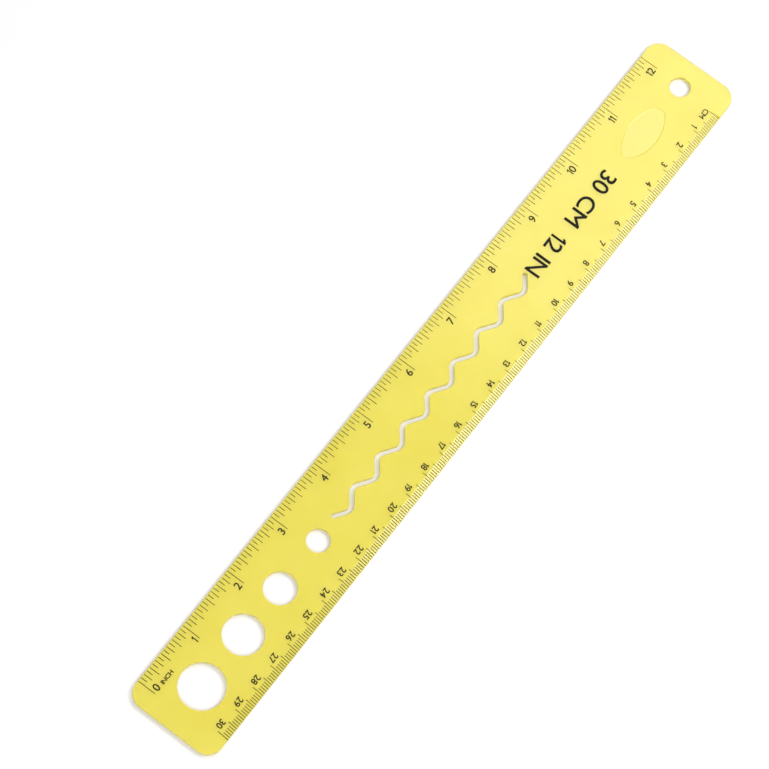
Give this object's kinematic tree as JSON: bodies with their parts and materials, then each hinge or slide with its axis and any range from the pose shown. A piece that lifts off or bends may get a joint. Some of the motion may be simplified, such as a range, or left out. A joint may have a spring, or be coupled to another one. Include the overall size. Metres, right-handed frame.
{
  "type": "flexible ruler",
  "caption": "Translucent yellow flexible ruler with centimetre and inch scales, drawing circles, a wave slot, a bevelled edge and a hanging hole.",
  "frame": {"origin": "under the middle of the ruler, on the face it lies on", "axes": "+X along the ruler towards the hanging hole, +Y towards the inch edge, +Z out of the printed face"},
  "size_m": [0.322, 0.038, 0.002],
  "materials": {
    "yellow_plastic": "translucent flexible plastic with a soft gloss",
    "scale_ink": "thin dark print, satin",
    "lettering_ink": "thin black print, satin"
  },
  "bodies": {
    "root": {"ruler_body": "yellow_plastic", "inch_lines_whole": "scale_ink", "inch_lines_half_quarter": "scale_ink", "inch_lines_eighth": "scale_ink", "inch_lines_sixteenth": "scale_ink", "cm_lines_whole": "scale_ink", "cm_lines_half": "scale_ink", "cm_lines_millimetre": "scale_ink", "inch_numerals": "scale_ink", "inch_word": "scale_ink", "cm_numerals": "scale_ink", "cm_word": "scale_ink", "size_lettering": "lettering_ink"}
  },
  "joints": []
}
